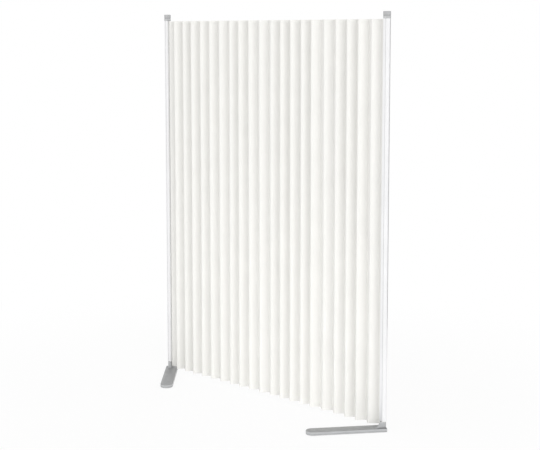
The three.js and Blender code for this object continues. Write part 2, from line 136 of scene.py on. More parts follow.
class PostSettings(bpy.types.PropertyGroup):
    colour: FloatVectorProperty(
        name="Post colour", description="Colour of the anodised posts", subtype="COLOR", size=3, min=0, max=1,
        default=(0.86, 0.862, 0.87))
    cap_colour: FloatVectorProperty(
        name="Cap colour", description="Colour of the moulded caps", subtype="COLOR", size=3, min=0, max=1,
        default=(0.42, 0.425, 0.43))
    jaw_corner: FloatProperty(
        name="Jaw corner", description="Corner radius of the jaws", default=0.002, unit="LENGTH")
    lip: FloatProperty(
        name="Lip radius", description="Rounding where the cloth leaves the jaws", default=0.0005, unit="LENGTH")
    bore: FloatProperty(
        name="Bore radius", description="Radius of the hollow inside the post", default=0.0096, unit="LENGTH")
    channel: FloatProperty(
        name="Channel radius", description="Radius of the channel that holds the welt", default=0.0018, unit="LENGTH")
    channel_place: FloatProperty(
        name="Channel place", description="Distance from the post's axis to the channel",
        default=0.0127, unit="LENGTH")
    slot: FloatProperty(
        name="Slot width", description="Width of the gap between the jaws", default=0.002, unit="LENGTH")
    outer_wall: FloatProperty(
        name="Outer wall", description="Thickness of the post's outer walls", default=0.0015, unit="LENGTH")
    inner_wall: FloatProperty(
        name="Inner wall", description="Thickness of the walls between the post's hollows",
        default=0.0014, unit="LENGTH")
    groove_place: FloatProperty(
        name="Groove place", description="Distance from the post's axis to its side grooves",
        default=0.0016, unit="LENGTH")
    groove_width: FloatProperty(
        name="Groove width", description="Width of the side grooves", default=0.0024, unit="LENGTH")
    groove_depth: FloatProperty(
        name="Groove depth", description="Depth of the side grooves", default=0.0009, unit="LENGTH")
    cap_overhang: FloatProperty(
        name="Cap overhang", description="How far a cap stands out past the post", default=0.0006, unit="LENGTH")
    cap_collar: FloatProperty(
        name="Cap collar", description="Height of a cap's lower band", default=0.012, unit="LENGTH")
    cap_groove: FloatProperty(
        name="Cap groove", description="Height of the groove between a cap's bands", default=0.0016, unit="LENGTH")
    cap_groove_depth: FloatProperty(
        name="Cap groove depth", description="Depth of the groove between a cap's bands",
        default=0.0012, unit="LENGTH")
    cap_edge: FloatProperty(
        name="Cap edge", description="Rounding of a cap's top edge", default=0.0018, unit="LENGTH")


class FootSettings(bpy.types.PropertyGroup):
    colour: FloatVectorProperty(
        name="Foot colour", description="Colour of the moulded foot covers", subtype="COLOR", size=3, min=0, max=1,
        default=(0.305, 0.31, 0.315))
    steel_colour: FloatVectorProperty(
        name="Steel colour", description="Colour of the coated foot plates and their fittings", subtype="COLOR", size=3,
        min=0, max=1, default=(0.46, 0.465, 0.47))
    reach: FloatProperty(
        name="Foot reach", description="Distance from the swivel axis to the foot's tip", default=0.34, unit="LENGTH")
    width: FloatProperty(
        name="Foot width", description="Width of a foot", default=0.06, unit="LENGTH")
    side_offset: FloatProperty(
        name="Side offset", description="How far a foot's centre line passes the swivel axis",
        default=0.01, unit="LENGTH")
    heel: FloatProperty(
        name="Heel reach", description="Distance from the swivel axis to the heel", default=0.012, unit="LENGTH")
    heel_corner: FloatProperty(
        name="Heel corner", description="Corner radius of the heel", default=0.005, unit="LENGTH")
    cover_height: FloatProperty(
        name="Cover height", description="Height of the moulded cover", default=0.0101, unit="LENGTH")
    cover_edge: FloatProperty(
        name="Cover edge", description="Rounding of the cover's top edge", default=0.0018, unit="LENGTH")
    seam_edge: FloatProperty(
        name="Seam edge", description="Rounding along the seam between cover and plate",
        default=0.0005, unit="LENGTH")
    plate_inset: FloatProperty(
        name="Plate inset", description="How far the plate stays inside the cover", default=0.0006, unit="LENGTH")
    neck: FloatProperty(
        name="Neck radius", description="Radius of the neck below the post", default=0.01, unit="LENGTH")
    neck_bore: FloatProperty(
        name="Neck bore", description="Radius of the hole that the stem passes", default=0.0073, unit="LENGTH")
    ramp_reach: FloatProperty(
        name="Ramp reach", description="Distance from the swivel axis to the ramp's low end",
        default=0.048, unit="LENGTH")
    ramp_top_reach: FloatProperty(
        name="Ramp top reach", description="Distance from the swivel axis to the ramp's top end",
        default=0.016, unit="LENGTH")
    ramp_sweep: FloatProperty(
        name="Ramp sweep", description="Share of the way out over which the ramp stays low", default=0.3)
    ramp_drop: FloatProperty(
        name="Ramp drop", description="How far the ramp stays below the neck's top", default=0.0008, unit="LENGTH")
    ramp_end: FloatProperty(
        name="Ramp end radius", description="Radius of the ramp's narrow end", default=0.0088, unit="LENGTH")
    fillet: FloatProperty(
        name="Fillet", description="Rounding where the neck and ramp meet the foot", default=0.0014, unit="LENGTH")


class StageSettings(bpy.types.PropertyGroup):
    floor_colour: FloatVectorProperty(
        name="Floor colour", description="Colour of the studio floor", subtype="COLOR", size=3, min=0, max=1,
        default=(0.92, 0.92, 0.92))
    floor_size: FloatProperty(
        name="Floor size", description="Side of the square floor", default=60, unit="LENGTH")
    ambient: FloatProperty(
        name="Ambient level", description="Brightness of the studio's even light", default=0.738)
    key_power: FloatProperty(
        name="Key power", description="Power of the large lamp to the camera's right", default=215, unit="POWER")
    fill_power: FloatProperty(
        name="Fill power", description="Power of the large lamp to the camera's left", default=48, unit="POWER")
    back_power: FloatProperty(
        name="Back power", description="Power of the large lamp behind the screen", default=80, unit="POWER")
    low_power: FloatProperty(
        name="Low power", description="Power of the small lamp near the floor", default=0.7, unit="POWER")
    card_size: FloatProperty(
        name="Card size", description="Side of the dark card that the posts mirror", default=3.0, unit="LENGTH")
    camera_place: FloatVectorProperty(
        name="Camera place", description="Where the camera stands", subtype="XYZ", size=3,
        default=(4.6272, -3.998, 1.7038))
    camera_yaw: FloatProperty(
        name="Camera turn", description="Turn of the camera to the left of +Y", default=0.7721, subtype="ANGLE")
    camera_tilt: FloatProperty(
        name="Camera tilt", description="Downward tilt of the camera", default=0.1115, subtype="ANGLE")
    camera_lens: FloatProperty(
        name="Focal length", description="Focal length on a 36 mm wide sensor, in millimetres", default=81.39)


def add_object(name, data):
    piece = bpy.data.objects.new(name, data)
    bpy.context.scene.collection.objects.link(piece)
    return piece


def new_mesh(name, points, faces):
    mesh = bpy.data.meshes.new(name)
    mesh.from_pydata(points, [], faces)
    mesh.update()
    return mesh


def dress(mesh, finish, sharpest=40):
    """Gives a mesh its one finish and smooth shading that stops at edges sharper than an angle in degrees."""
    mesh.materials.clear()
    mesh.materials.append(finish)
    mesh.shade_smooth()
    mesh.set_sharp_from_angle(angle=math.radians(sharpest))


def arc(centre, radius, start, end, steps):
    """Points of an arc, with angles in degrees."""
    turns = [math.radians(start + (end - start) * i / steps) for i in range(steps + 1)]
    return [(centre[0] + radius * math.cos(t), centre[1] + radius * math.sin(t)) for t in turns]


def circle(centre, radius, count):
    return arc(centre, radius, 0, 360 - 360 / count, count - 1)


def curved(start, handle, end, t):
    """Point or value at a share of the way along a curve that is drawn towards a handle."""
    return start * (1 - t) ** 2 + handle * 2 * t * (1 - t) + end * t ** 2


def rounded_sections(outline, low, high, low_edge, high_edge, steps=5):
    """Sections of an upright solid with rounded rims; outline(inset) gives its shape at an inset."""
    turns = [math.pi / 2 * i / steps for i in range(steps + 1)]
    lower = [(outline(low_edge * (1 - math.sin(t))), low + low_edge * (1 - math.cos(t))) for t in turns]
    upper = [(outline(high_edge * (1 - math.cos(t))), high - high_edge * (1 - math.sin(t))) for t in turns]
    return lower + upper


def stacked_mesh(name, sections):
    """Closed mesh through sections of equal point counts, each an outline and its height."""
    count = len(sections[0][0])
    points = [(x, y, height) for outline, height in sections for x, y in outline]
    faces = [tuple(reversed(range(count))), tuple(range(len(points) - count, len(points)))]
    for base in range(0, len(points) - count, count):
        for i in range(count):
            j = (i + 1) % count
            faces.append((base + i, base + j, base + count + j, base + count + i))
    return new_mesh(name, points, faces)


def evaluated_mesh(piece):
    """Mesh of a curve, or of a piece with its modifiers."""
    bpy.context.view_layer.update()
    return bpy.data.meshes.new_from_object(piece.evaluated_get(bpy.context.evaluated_depsgraph_get()))


def extruded_mesh(name, outlines, low, high):
    """Upright solid of closed outlines: the first is outside and the rest are hollows in it."""
    curve = bpy.data.curves.new(name, "CURVE")
    curve.dimensions, curve.fill_mode, curve.extrude = "2D", "BOTH", (high - low) / 2
    for outline in outlines:
        spline = curve.splines.new("POLY")
        spline.points.add(len(outline) - 1)
        for point, (x, y) in zip(spline.points, outline):
            point.co = (x, y, 0, 1)
        spline.use_cyclic_u = True
    holder = add_object(name, curve)
    mesh = evaluated_mesh(holder)
    bpy.data.objects.remove(holder)
    bpy.data.curves.remove(curve)
    mesh.transform(Matrix.Translation((0, 0, (low + high) / 2)))
    mesh.name = name
    return mesh


def combine(piece, operation, name, sections):
    """Joins a solid of stacked sections to a piece, or cuts it away."""
    tool = add_object(name, stacked_mesh(name, sections))
    step = piece.modifiers.new(operation.lower(), "BOOLEAN")
    step.operation, step.solver, step.object = operation, "EXACT", tool
    result = evaluated_mesh(piece)
    piece.modifiers.clear()
    piece.data = result
    bpy.data.objects.remove(tool)
    if not result.polygons:
        raise RuntimeError(f"{piece.name} lost its shape when it was combined with its {name}")


def place_at_end(mesh, end, turn):
    """Turns a mesh that was made about the origin, and moves it to a post's axis."""
    axis = SWIVELS[end]
    mesh.transform(Matrix.Translation((axis.x, axis.y, 0)) @ Matrix.Rotation(turn, 4, "Z"))


def foot_turn(end):
    """Angle from +X to the way a foot points at rest, from where its tip pad lies."""
    foot = bpy.context.scene.screen_foot
    low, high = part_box(f"{end}_tip_pad")
    pad = (low + high) / 2 - SWIVELS[end]
    return math.atan2(pad.y, pad.x) - math.atan2(SIDES[end] * foot.side_offset, foot.reach - foot.width / 2)


# Finishes

# Where the colours of a finish change, on masks of noise, of pointiness for the painted edge highlight, of upward
# facing for the painted side light and of open air for the painted shade
PATCH_STOPS = (0.3, 0.7)
FLAT_TO_EDGE = (0.5, 0.6)
SIDE_TO_TOP = (0.5, 0.95)
OPEN_AIR = 0.95
# How much finer than a metre the drawn-out noise is along each axis
SLUB_SCALE = (700, 25, 1)
DRAW_LINE_SCALE = (2200, 2200, 3)
WAVE_LENGTH = math.pi / 10  # of the wave texture at a scale of 1
RUBBER_COLOUR = (0.035, 0.035, 0.037)
BUSH_COLOUR = (0.72, 0.71, 0.66)


def start_finish(name, colour, roughness, metallic=0.0):
    material = bpy.data.materials.new(name)
    material.use_nodes = True
    shader = material.node_tree.nodes["Principled BSDF"]
    shader.inputs["Base Color"].default_value = (*colour, 1)
    shader.inputs["Roughness"].default_value = roughness
    shader.inputs["Metallic"].default_value = metallic
    return material, shader


def add_node(owner, kind, links=(), **values):
    """Adds a node, sets its values by socket or property name, and links (socket, source) pairs into it."""
    node = owner.node_tree.nodes.new(kind)
    for key, value in values.items():
        if hasattr(node, key):
            setattr(node, key, value)
        else:
            node.inputs[key.replace("_", " ").title()].default_value = value
    for socket, source in links:
        owner.node_tree.links.new(source, node.inputs[socket])
    return node


def soft_noise(material, vector, **texture):
    return add_node(material, "ShaderNodeTexNoise", [("Vector", vector)], **texture).outputs["Fac"]


def drawn_out_noise(material, vector, scale, detail):
    """Noise stretched in one direction, for slubs and draw lines."""
    stretched = add_node(material, "ShaderNodeMapping", [("Vector", vector)], Scale=scale)
    return soft_noise(material, stretched.outputs["Vector"], Scale=1.0, Detail=detail)


def remapped(material, source, from_low, from_high, to_low, to_high, **settings):
    """Runs between the last two values as the source runs between the first two."""
    spread = add_node(material, "ShaderNodeMapRange", [("Value", source)], From_Min=from_low, From_Max=from_high,
                      To_Min=to_low, To_Max=to_high, **settings)
    return spread.outputs["Result"]


def vary_colour(material, shader, vector, colour, amount, **texture):
    """Colour that wanders in soft patches from a slightly darker to a slightly lighter shade."""
    ramp = add_node(material, "ShaderNodeValToRGB", [("Fac", soft_noise(material, vector, **texture))])
    for stop, position, sign in zip(ramp.color_ramp.elements, PATCH_STOPS, (-1, 1)):
        stop.position = position
        stop.color = [*(min(1.0, channel * (1 + sign * amount)) for channel in colour), 1]
    material.node_tree.links.new(ramp.outputs["Color"], shader.inputs["Base Color"])


def vary_roughness(material, shader, source, low, high):
    spread = remapped(material, source, 0.0, 1.0, low, high)
    material.node_tree.links.new(spread, shader.inputs["Roughness"])


def tone(material, shader, mask, *ends):
    """Multiplies the colour by a factor that runs between two values as the mask runs between two others."""
    factor = remapped(material, mask, *ends)
    plain = shader.inputs["Base Color"].links[0].from_socket
    toned = add_node(material, "ShaderNodeVectorMath", [(0, plain), (1, factor)], operation="MULTIPLY")
    material.node_tree.links.new(toned.outputs["Vector"], shader.inputs["Base Color"])


def paint_hollow_shade(material, shader, distance, closed, darkest):
    """Paints shade into the colour near other faces, down to the darkest where the open share falls to closed."""
    # Painted shade: an ambient occlusion mask darkens the colour where other faces are close by.
    hollows = add_node(material, "ShaderNodeAmbientOcclusion", Distance=distance)
    tone(material, shader, hollows.outputs["AO"], closed, OPEN_AIR, darkest, 1.0)


def raise_relief(material, shader, height, distance, strength):
    relief = add_node(material, "ShaderNodeBump", [("Height", height)], Distance=distance, Strength=strength)
    material.node_tree.links.new(relief.outputs["Normal"], shader.inputs["Normal"])


def cloth_finish():
    """Ivory plain weave with slubs and soft mottling."""
    cloth = bpy.context.scene.screen_cloth
    material, shader = start_finish("pleated_cloth", cloth.colour, roughness=0.85)
    shader.inputs["Sheen Weight"].default_value = 0.15
    shader.inputs["Sheen Roughness"].default_value = 0.5
    shader.inputs["Specular IOR Level"].default_value = 0.25
    lay = add_node(material, "ShaderNodeUVMap", uv_map="weave").outputs["UV"]
    vary_colour(material, shader, lay, cloth.colour, amount=0.012, Scale=9.0, Detail=4.0)
    threads = [
        add_node(material, "ShaderNodeTexWave", [("Vector", lay)], bands_direction=direction,
                 Scale=WAVE_LENGTH / cloth.thread, Distortion=0.6, Detail=1.0, Detail_Scale=0.4).outputs["Fac"]
        for direction in ("X", "Y")
    ]
    weave = add_node(material, "ShaderNodeMath", enumerate(threads), operation="MULTIPLY")
    slubs = drawn_out_noise(material, lay, SLUB_SCALE, detail=2.0)
    surface = add_node(material, "ShaderNodeMath", [(0, weave.outputs[0]), (1, slubs)], operation="ADD")
    vary_roughness(material, shader, slubs, low=0.78, high=0.95)
    raise_relief(material, shader, surface.outputs[0], distance=0.00025, strength=0.45)
    return material


def anodised_finish():
    """Clear-anodised aluminium with fine draw lines along its length, with painted shade in its grooves and near other
    parts.
    """
    post = bpy.context.scene.screen_post
    material, shader = start_finish("clear_anodised_aluminium", post.colour, roughness=0.3, metallic=0.5)
    place = add_node(material, "ShaderNodeTexCoord").outputs["Object"]
    lines = drawn_out_noise(material, place, DRAW_LINE_SCALE, detail=3.0)
    vary_colour(material, shader, place, post.colour, amount=0.03, Scale=6.0, Detail=3.0)
    # Painted shade in the post's grooves and jaws, and where it meets the cloth.
    paint_hollow_shade(material, shader, distance=0.006, closed=0.5, darkest=0.2)
    vary_roughness(material, shader, lines, low=0.24, high=0.36)
    raise_relief(material, shader, lines, distance=0.00004, strength=0.35)
    return material


def moulded_finish(name, colour, roughness, grain_size, relief,
                   metallic=0.0, painted_edge_highlight=1.35, painted_side_light=1.0, painted_shade_reach=0.006):
    """Moulded plastic with a fine spark-eroded texture, with a painted highlight on its edges, painted light on its
    sides and painted shade in its hollows.
    """
    material, shader = start_finish(name, colour, roughness, metallic)
    coordinates = add_node(material, "ShaderNodeTexCoord")
    place = coordinates.outputs["Object"]
    vary_colour(material, shader, place, colour, amount=0.05, Scale=22.0, Detail=5.0)
    edges = add_node(material, "ShaderNodeNewGeometry").outputs["Pointiness"]
    # Painted highlight: convex edges, found by pointiness, are made lighter.
    tone(material, shader, edges, *FLAT_TO_EDGE, 1.0, painted_edge_highlight)
    facing = add_node(material, "ShaderNodeSeparateXYZ", [("Vector", coordinates.outputs["Normal"])])
    # Painted light: faces turned sideways or down are made lighter than faces turned up.
    tone(material, shader, facing.outputs["Z"], *SIDE_TO_TOP, painted_side_light, 1.0)
    # Painted shade in the hollows, such as the groove between a cap's bands and where a neck meets its foot.
    paint_hollow_shade(material, shader, painted_shade_reach, closed=0.35, darkest=0.25)
    grain = soft_noise(material, place, Scale=1 / grain_size, Detail=2.0)
    wear = soft_noise(material, place, Scale=35.0, Detail=6.0)
    vary_roughness(material, shader, wear, roughness - 0.1, roughness + 0.1)
    raise_relief(material, shader, grain, relief, strength=0.4)
    return material


def steel_finish():
    """Coated steel with a fine, slightly cloudy film."""
    foot = bpy.context.scene.screen_foot
    material, shader = start_finish("coated_steel", foot.steel_colour, roughness=0.45, metallic=0.3)
    place = add_node(material, "ShaderNodeTexCoord").outputs["Object"]
    vary_colour(material, shader, place, foot.steel_colour, amount=0.07, Scale=40.0, Detail=4.0)
    film = soft_noise(material, place, Scale=90.0, Detail=5.0)
    vary_roughness(material, shader, film, low=0.28, high=0.48)
    raise_relief(material, shader, film, distance=0.00003, strength=0.3)
    return material


# Cloth

# Rows of a hem: height over the cloth's edge, and share of the hem's fullness, negative where it is stitched
HEM_ROWS = ((0.0, 0.5), (0.0009, 1.0), (0.004, 1.0), (0.008, 1.0), (0.0112, 1.0), (0.0118, -0.35), (0.0124, 1.0))
HEM_STEP = 0.0008  # from a hem's end to its last full row
ROWS_PAST_HEM = (0.0, 0.004, 0.012, 0.03)
MIDDLE_ROWS = 34
# Unevenness of the cloth: its rates across, through and up the screen, and where its pattern starts
SWAY = (13, 9, 1.4, 0)
PUCKER = (70, 70, 22, 40)
PUCKER_FADE = 0.022  # over which the puckers fade away from an edge
JAW_FADE = 0.02  # over which the unevenness grows away from a jaw
CLOTH_DRAW = 1796057247  # start of the noise, which Blender would otherwise take from the clock
CREASE_ROOM = 1.3  # crease lengths that a flap's points stay clear of its fold
WELT_POINTS = 24


def flap_points(end, steps=9):
    """Seen from above, the cloth from inside a post's jaws to its first fold, in the screen's frame."""
    axis, side = SWIVELS[end], SIDES[end]
    fold = FOLDS[0] if end == "left" else FOLDS[-1]
    reaches = (bpy.context.scene.screen_post.channel_place, JAW_REACH + SEAT_GAP,
               JAW_REACH + bpy.context.scene.screen_cloth.flap_lead)
    inside, start, lead = (Vector((axis.x + side * reach, axis.y)) for reach in reaches)
    return [inside, (inside + start) / 2] + [curved(start, lead, fold, i / steps) for i in range(steps + 1)]


def face_point(number, share):
    """Point on the softly bowed face between two folds; number counts faces from the left."""
    start, end = FOLDS[number - 1], FOLDS[number]
    chord = end - start
    across = Vector((-chord.y, chord.x)).normalized()
    bow = -math.copysign(bpy.context.scene.screen_cloth.bow, chord.y)
    return start + chord * share + across * bow * math.sin(2 * math.pi * share)


def fold_path(number, face_steps=9, crease_steps=6):
    """Path of the cloth about one fold, from mid-face to mid-face, with a spare point past each inner end."""
    cloth = bpy.context.scene.screen_cloth
    fold = FOLDS[number - 1]

    def half_face(face, from_mid):
        edge = cloth.crease / (FOLDS[face] - FOLDS[face - 1]).length
        step = (0.5 - edge) / face_steps
        shares = [0.5 + step * i for i in range(-1, face_steps + 1)]
        if from_mid:
            return [face_point(face, share) for share in shares]
        return [face_point(face, 1 - share) for share in reversed(shares)]

    def trimmed(points):
        kept = [p for p in points if (p - fold).length > cloth.crease * CREASE_ROOM]
        heading = (kept[-1] - fold).normalized()
        return kept + [fold + heading * cloth.crease]

    first, last = number == 1, number == len(FOLDS)
    before = trimmed(flap_points("left")) if first else half_face(number - 1, True)
    after = trimmed(flap_points("right"))[::-1] if last else half_face(number, False)
    turn = [curved(before[-1], fold, after[0], i / crease_steps) for i in range(1, crease_steps)]
    return before + turn + after, 0 if first else 1, 0 if last else 1


def cloth_heights():
    """Heights of the cloth's rows, close together at the hems, with the thickness added at each."""
    cloth = bpy.context.scene.screen_cloth
    hem = [(height, cloth.hem_fullness * share) for height, share in HEM_ROWS]
    hem.append((cloth.hem - HEM_STEP, cloth.hem_fullness))
    hem += [(cloth.hem + past, 0.0) for past in ROWS_PAST_HEM]
    inner_low, inner_top = CLOTH_LOW + hem[-1][0], CLOTH_TOP - hem[-1][0]
    middle = [(inner_low + (inner_top - inner_low) * i / MIDDLE_ROWS, 0.0) for i in range(1, MIDDLE_ROWS)]
    lower = [(CLOTH_LOW + height, extra) for height, extra in hem]
    upper = [(CLOTH_TOP - height, extra) for height, extra in reversed(hem)]
    return lower + middle + upper


def strayed(point, height):
    """Where a point of the pressed shape lies on the real, slightly uneven cloth."""
    cloth = bpy.context.scene.screen_cloth
    slow, drawn = (noise.noise_vector((point.x * across + start, point.y * through, height * up))
                   for across, through, up, start in (SWAY, PUCKER))
    drawn *= math.exp(-min(height - CLOTH_LOW, CLOTH_TOP - height) / PUCKER_FADE)
    held = min(1.0, *(max(0.0, (abs(point.x - axis.x) - JAW_REACH) / JAW_FADE) for axis in SWIVELS.values()))
    shift = slow * cloth.wander + drawn * cloth.pucker
    return Vector((point.x + shift.x * held, point.y + shift.y * held))


def cloth_mesh(name, path, spare_start, spare_end):
    """Closed sheet along a path seen from above, with thickened hems and a map that follows the threads."""
    cloth = bpy.context.scene.screen_cloth
    kept = range(spare_start, len(path) - spare_end)
    lengths = [0.0]
    for i in range(1, len(path)):
        lengths.append(lengths[-1] + (path[i] - path[i - 1]).length)
    rows = cloth_heights()
    points, lay, faces = [], [], []
    for height, extra in rows:
        line = [strayed(p, height) for p in path]
        for i in kept:
            along = (line[min(i + 1, len(line) - 1)] - line[max(i - 1, 0)]).normalized()
            across = Vector((-along.y, along.x)) * (cloth.thickness / 2 + extra)
            for spot in (line[i] - across, line[i] + across):
                points.append((spot.x, spot.y, height))
                lay.append((path[0].x + lengths[i], height))

    def add_face(*corners):
        faces.append([(row * len(kept) + column) * 2 + skin for row, column, skin in corners])

    top, last = len(rows) - 1, len(kept) - 1
    for row in range(top):
        up = row + 1
        for column in range(last):
            on = column + 1
            add_face((row, column, 0), (row, on, 0), (up, on, 0), (up, column, 0))
            add_face((row, column, 1), (up, column, 1), (up, on, 1), (row, on, 1))
        add_face((row, 0, 1), (row, 0, 0), (up, 0, 0), (up, 0, 1))
        add_face((row, last, 0), (row, last, 1), (up, last, 1), (up, last, 0))
    for column in range(last):
        on = column + 1
        add_face((0, column, 1), (0, on, 1), (0, on, 0), (0, column, 0))
        add_face((top, column, 0), (top, on, 0), (top, on, 1), (top, column, 1))
    mesh = new_mesh(name, points, faces)
    weave = mesh.uv_layers.new(name="weave")
    for loop in mesh.loops:
        weave.data[loop.index].uv = lay[loop.vertex_index]
    return mesh, lengths[kept[-1]] - lengths[spare_start]


class SCREEN_OT_cloth(bpy.types.Operator):
    """Make the pleated cloth, one length of it about each fold, and the welts in the posts"""
    bl_idname = "screen.cloth"
    bl_label = "Cloth"

    def execute(self, context):
        cloth, post = context.scene.screen_cloth, context.scene.screen_post
        finish = cloth_finish()
        noise.seed_set(CLOTH_DRAW)
        radius = post.channel - SEAT_GAP
        welts = {}
        for end in ENDS:
            name = f"{end}_cloth_welt"
            mesh = stacked_mesh(name, rounded_sections(
                lambda inset: circle((post.channel_place, 0), radius - inset, WELT_POINTS),
                POST_LOW + SEAT_GAP, CLOTH_TOP, radius / 3, radius / 3))
            place_at_end(mesh, end, FACINGS[end])
            dress(mesh, finish)
            welts[end] = add_object(name, mesh)
            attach(welts[end], f"{end}_post")
        for number, (joint, fold) in enumerate(zip(FOLD_JOINTS, FOLDS), 1):
            path, spare_start, spare_end = fold_path(number)
            name = f"cloth_fold_{number:02d}"
            mesh, width = cloth_mesh(name, path, spare_start, spare_end)
            dress(mesh, finish, sharpest=60)
            piece = add_object(name, mesh)
            stood_for = [f"pleat_panel_{number:02d}"] if number <= PANEL_COUNT else ["right_edge_strip"]
            if number == 1:
                stood_for.append("left_edge_strip")
            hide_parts(*stood_for)
            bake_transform(piece)
        return {"FINISHED"}


# Posts

LIP_STEPS = 4
CAP_NOSE_STEPS = 40
POST_NOSE_STEPS = 48
CHANNEL_STEPS = 30
GROOVE_STEPS = 8
BORE_POINTS = 60


def post_outline(growth):
    """Outline of a post or cap in the post's own frame: round nose to -X, jaws to +X."""
    corner = bpy.context.scene.screen_post.jaw_corner
    jaw, cheek = JAW_REACH - corner, POST_RADIUS - corner
    return (arc((jaw, cheek), corner + growth, 0, 90, CORNER_STEPS)
            + arc((0, 0), POST_RADIUS + growth, 90, 270, CAP_NOSE_STEPS)
            + arc((jaw, -cheek), corner + growth, -90, 0, CORNER_STEPS))


def groove_points(side):
    """Rounded groove in a post's flat side, listed towards the nose on the +Y side."""
    post = bpy.context.scene.screen_post
    points = []
    for i in range(GROOVE_STEPS + 1):
        share = -1 + 2 * i / GROOVE_STEPS
        depth = post.groove_depth * math.cos(share * math.pi / 2)
        points.append((post.groove_place - post.groove_width / 2 * share, side * (POST_RADIUS - depth)))
    return points if side > 0 else points[::-1]


def profile_outlines():
    """The extrusion's section: its outside with grooves, jaws and channel, and then its hollows."""
    post = bpy.context.scene.screen_post
    corner, lip, half = post.jaw_corner, post.lip, post.slot / 2
    jaw, cheek = JAW_REACH - corner, POST_RADIUS - corner
    mouth = math.degrees(math.asin(half / post.channel))
    outside = (
        arc((JAW_REACH - lip, half + lip), lip, -90, 0, LIP_STEPS)
        + arc((jaw, cheek), corner, 0, 90, CORNER_STEPS)
        + groove_points(1)
        + arc((0, 0), POST_RADIUS, 90, 270, POST_NOSE_STEPS)
        + groove_points(-1)
        + arc((jaw, -cheek), corner, -90, 0, CORNER_STEPS)
        + arc((JAW_REACH - lip, -half - lip), lip, 0, 90, LIP_STEPS)
        + arc((post.channel_place, 0), post.channel, -mouth, mouth - 360, CHANNEL_STEPS)
    )
    near, inner = post.bore + post.inner_wall, post.channel + post.inner_wall
    outer, far = POST_RADIUS - post.outer_wall, JAW_REACH - post.outer_wall
    steep, shallow = (math.degrees(math.asin(reach / near)) for reach in (outer, inner))
    hollows = [circle((0, 0), post.bore, BORE_POINTS)]
    for side in (1, -1):
        hollows.append(arc((0, 0), near, side * steep, side * shallow, CORNER_STEPS)
                       + [(far, side * inner), (far, side * outer)])
    return [outside] + hollows


class SCREEN_OT_posts(bpy.types.Operator):
    """Make the two extruded posts"""
    bl_idname = "screen.posts"
    bl_label = "Posts"

    def execute(self, context):
        finish = anodised_finish()
        for end in ENDS:
            mesh = extruded_mesh(f"{end}_post_profile", profile_outlines(), POST_LOW, POST_TOP)
            place_at_end(mesh, end, FACINGS[end])
            dress(mesh, finish, sharpest=30)
            piece = add_object(f"{end}_post_profile", mesh)
            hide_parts(f"{end}_post")
            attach(piece, f"{end}_post")
        return {"FINISHED"}


class SCREEN_OT_caps(bpy.types.Operator):
    """Make the banded cap on each post"""
    bl_idname = "screen.caps"
    bl_label = "Caps"

    def execute(self, context):
        post = context.scene.screen_post
        finish = moulded_finish("grey_cap_moulding", post.cap_colour, roughness=0.5, grain_size=0.0006, relief=0.00005)
        collar_top = CAP_LOW + post.cap_collar
        crown_low = collar_top + post.cap_groove
        waist = post_outline(post.cap_overhang - post.cap_groove_depth)

        def band(inset):
            return post_outline(post.cap_overhang - inset)

        sections = rounded_sections(band, CAP_LOW, collar_top, SOFT_EDGE, SOFT_EDGE, steps=3)
        sections += [(waist, collar_top), (waist, crown_low)]
        sections += rounded_sections(band, crown_low, CAP_TOP, SOFT_EDGE, post.cap_edge)
        for end in ENDS:
            mesh = stacked_mesh(f"{end}_cap_moulding", sections)
            place_at_end(mesh, end, FACINGS[end])
            dress(mesh, finish)
            piece = add_object(f"{end}_cap_moulding", mesh)
            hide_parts(f"{end}_cap")
            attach(piece, f"{end}_post")
        return {"FINISHED"}


# Feet

TIP_STEPS = 36
RAMP_END_STEPS = 12
NECK_STEPS = 40
RAMP_LEVELS = 20
HOLE_POINTS = 36
LEAST_STEP = 1e-5  # that a ramp's end stands out of the neck, so that the outline keeps its points apart
NECK_EDGE = 0.0006
NECK_SUNK = 0.001  # that the neck starts inside the cover
CUT_SPARE = 0.01  # that a cutting solid stands out of what it cuts
# Screw's seat in a plate: radii of its head and shank, and the cone's ends above the plate's underside
HEAD_RADIUS, SHANK_RADIUS = 0.0059, 0.0033
CONE_LOW, CONE_TOP = 0.0008, 0.0034


def foot_outline(side, inset):
    """Outline of a foot in its own frame: tip towards +X, swivel axis at the origin."""
    foot = bpy.context.scene.screen_foot
    middle, half, corner = side * foot.side_offset, foot.width / 2, foot.heel_corner
    heel = corner - foot.heel
    return (arc((foot.reach - half, middle), half - inset, -90, 90, TIP_STEPS)
            + arc((heel, middle + half - corner), corner - inset, 90, 180, CORNER_STEPS)
            + arc((heel, middle - half + corner), corner - inset, 180, 270, CORNER_STEPS))


def teardrop(big, small, distance):
    """Outline round two circles, the big one at the origin and the small one at a distance along +X."""
    distance = max(distance, big - small + LEAST_STEP)
    lean = math.degrees(math.acos(min(1.0, (big - small) / distance)))
    return (arc((distance, 0), small, -lean, lean, RAMP_END_STEPS)
            + arc((0, 0), big, lean, 360 - lean, NECK_STEPS))


def neck_sections():
    """Sections of the ramp that sweeps up from the foot's top into the neck."""
    foot = bpy.context.scene.screen_foot
    base, top = COVER_LOW + foot.cover_height, BUSH_LOW - SEAT_GAP
    rise = top - foot.ramp_drop - base
    bend = foot.ramp_top_reach + foot.ramp_sweep * (foot.ramp_reach - foot.ramp_top_reach)

    def section(growth, distance, height):
        return teardrop(foot.neck + growth, foot.ramp_end + growth, distance), height

    sections = [section(foot.fillet, foot.ramp_reach - foot.ramp_end, base - NECK_SUNK)]
    for i in range(RAMP_LEVELS + 1):
        t = i / RAMP_LEVELS
        height = rise * t ** 2
        reach = curved(foot.ramp_reach, bend, foot.ramp_top_reach, t)
        flare = foot.fillet * (1 - math.sqrt(1 - (1 - min(1.0, height / foot.fillet)) ** 2))
        inset = NECK_EDGE * max(0.0, 1 - (rise - height) / NECK_EDGE) ** 2
        sections.append(section(flare - inset, reach - foot.ramp_end, base + height))
    return sections + [section(-NECK_EDGE, 0, top - foot.ramp_drop / 2), section(-1.5 * NECK_EDGE, 0, top)]


